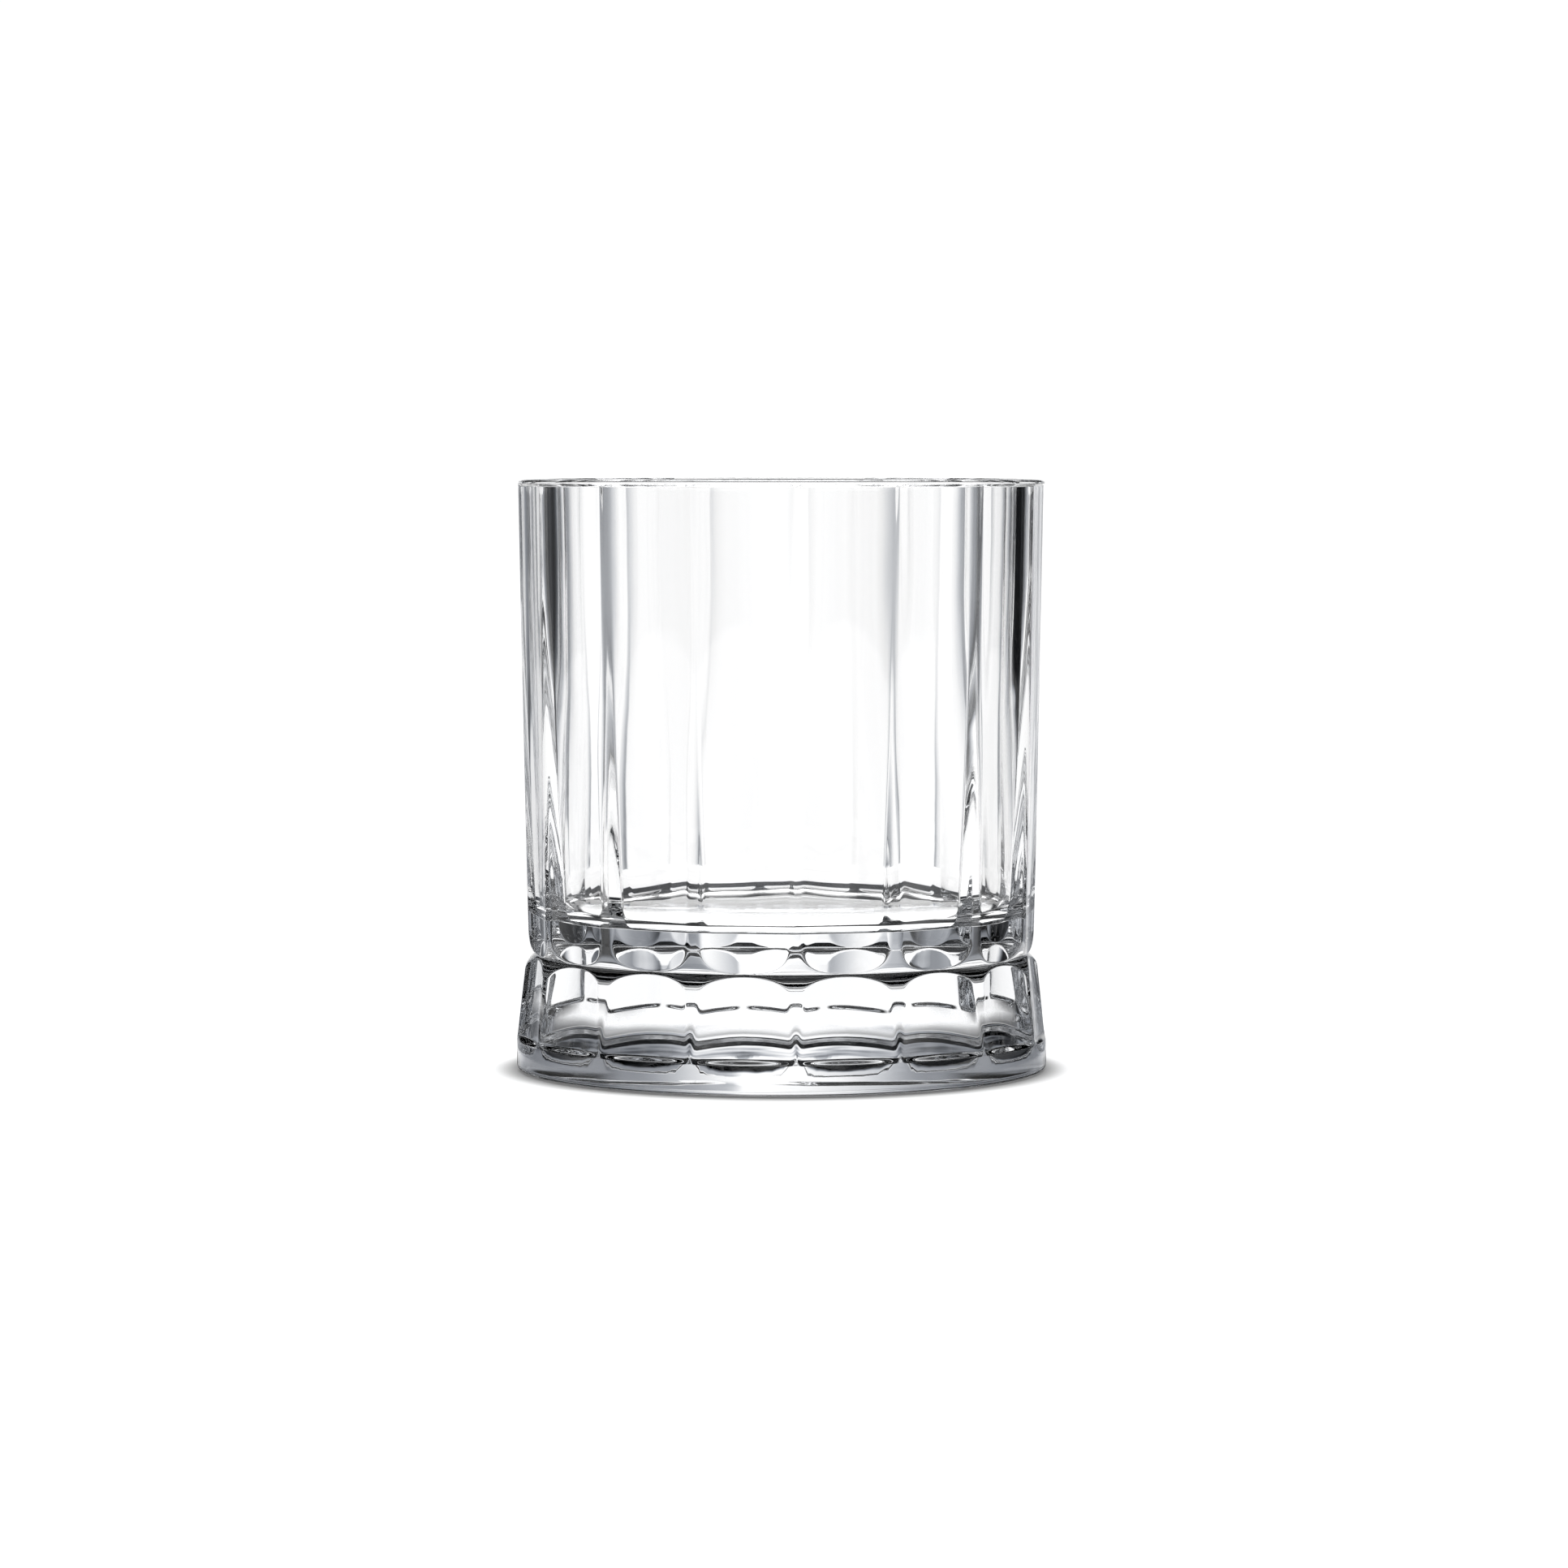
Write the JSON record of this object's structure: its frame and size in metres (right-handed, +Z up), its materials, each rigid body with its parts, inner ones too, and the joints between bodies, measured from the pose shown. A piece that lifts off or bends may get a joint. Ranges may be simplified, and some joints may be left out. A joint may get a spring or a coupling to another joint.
{
  "type": "whiskey tumbler",
  "caption": "Clear glass whiskey tumbler with flat vertical panels, a nipped waist and a thick flared faceted foot.",
  "frame": {"origin": "centre of the resting face, on the table", "axes": "+Z up along the glass's axis, out of its mouth; a ridge between two panels runs at -Y and another at +X"},
  "size_m": [0.0848, 0.0848, 0.0942],
  "materials": {
    "clear_glass": "fire-polished colourless clear glass"
  },
  "bodies": {
    "root": {"tumbler_glass": "clear_glass"}
  },
  "joints": []
}
